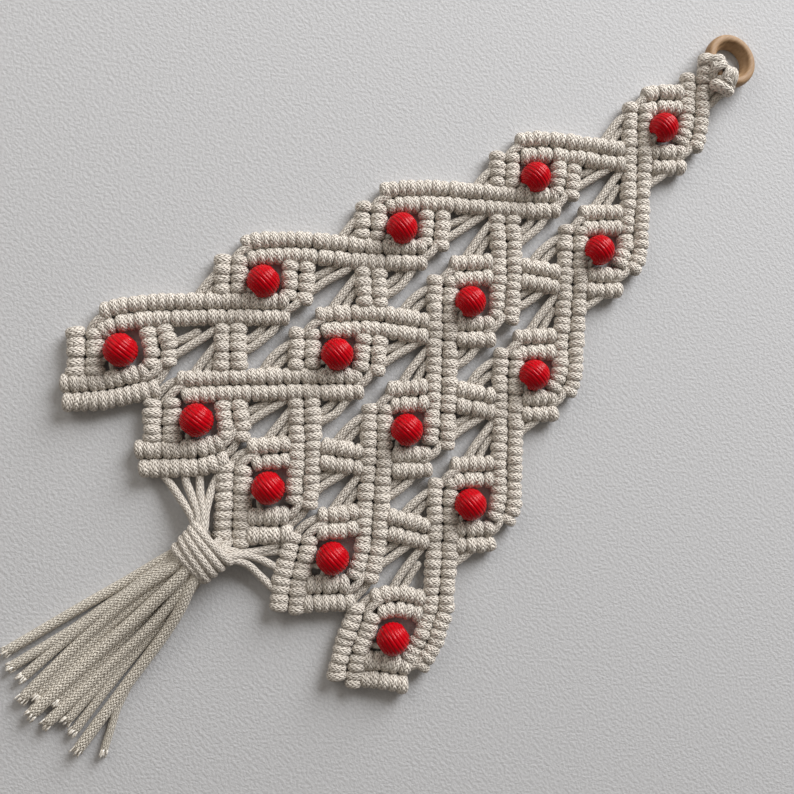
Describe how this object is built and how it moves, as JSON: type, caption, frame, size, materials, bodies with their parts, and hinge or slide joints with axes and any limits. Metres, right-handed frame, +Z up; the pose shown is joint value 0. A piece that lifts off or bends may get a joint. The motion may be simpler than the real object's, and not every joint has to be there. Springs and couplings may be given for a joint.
{
  "type": "macrame tree wall hanging",
  "caption": "Tree of knotted cream cotton cord in a lattice of diamonds, a grooved red bead in each, hung from a small wooden ring and ending in a wrapped fringe tassel.",
  "frame": {"origin": "on the surface that the hanging lies on, under the middle of its outline", "axes": "+X across the tree, +Y along it towards the ring, +Z up out of its face"},
  "size_m": [0.1782, 0.3712, 0.0124],
  "materials": {
    "cotton_cord": "braided natural cotton cord, matte",
    "cotton_tassel": "braided natural cotton cord, matte",
    "beech": "turned, unvarnished, satin",
    "red_lacquer": "deep red, satin gloss, turned with fine grooves"
  },
  "bodies": {
    "root": {"knotted_body": "cotton_cord", "wrapped_tassel": "cotton_tassel", "wooden_ring": "beech", "bead_1_1": "red_lacquer", "bead_2_1": "red_lacquer", "bead_2_2": "red_lacquer", "bead_3_1": "red_lacquer", "bead_3_2": "red_lacquer", "bead_3_3": "red_lacquer", "bead_4_1": "red_lacquer", "bead_4_2": "red_lacquer", "bead_4_3": "red_lacquer", "bead_4_4": "red_lacquer", "bead_5_1": "red_lacquer", "bead_5_2": "red_lacquer", "bead_5_3": "red_lacquer", "bead_5_4": "red_lacquer", "bead_5_5": "red_lacquer"}
  },
  "joints": []
}
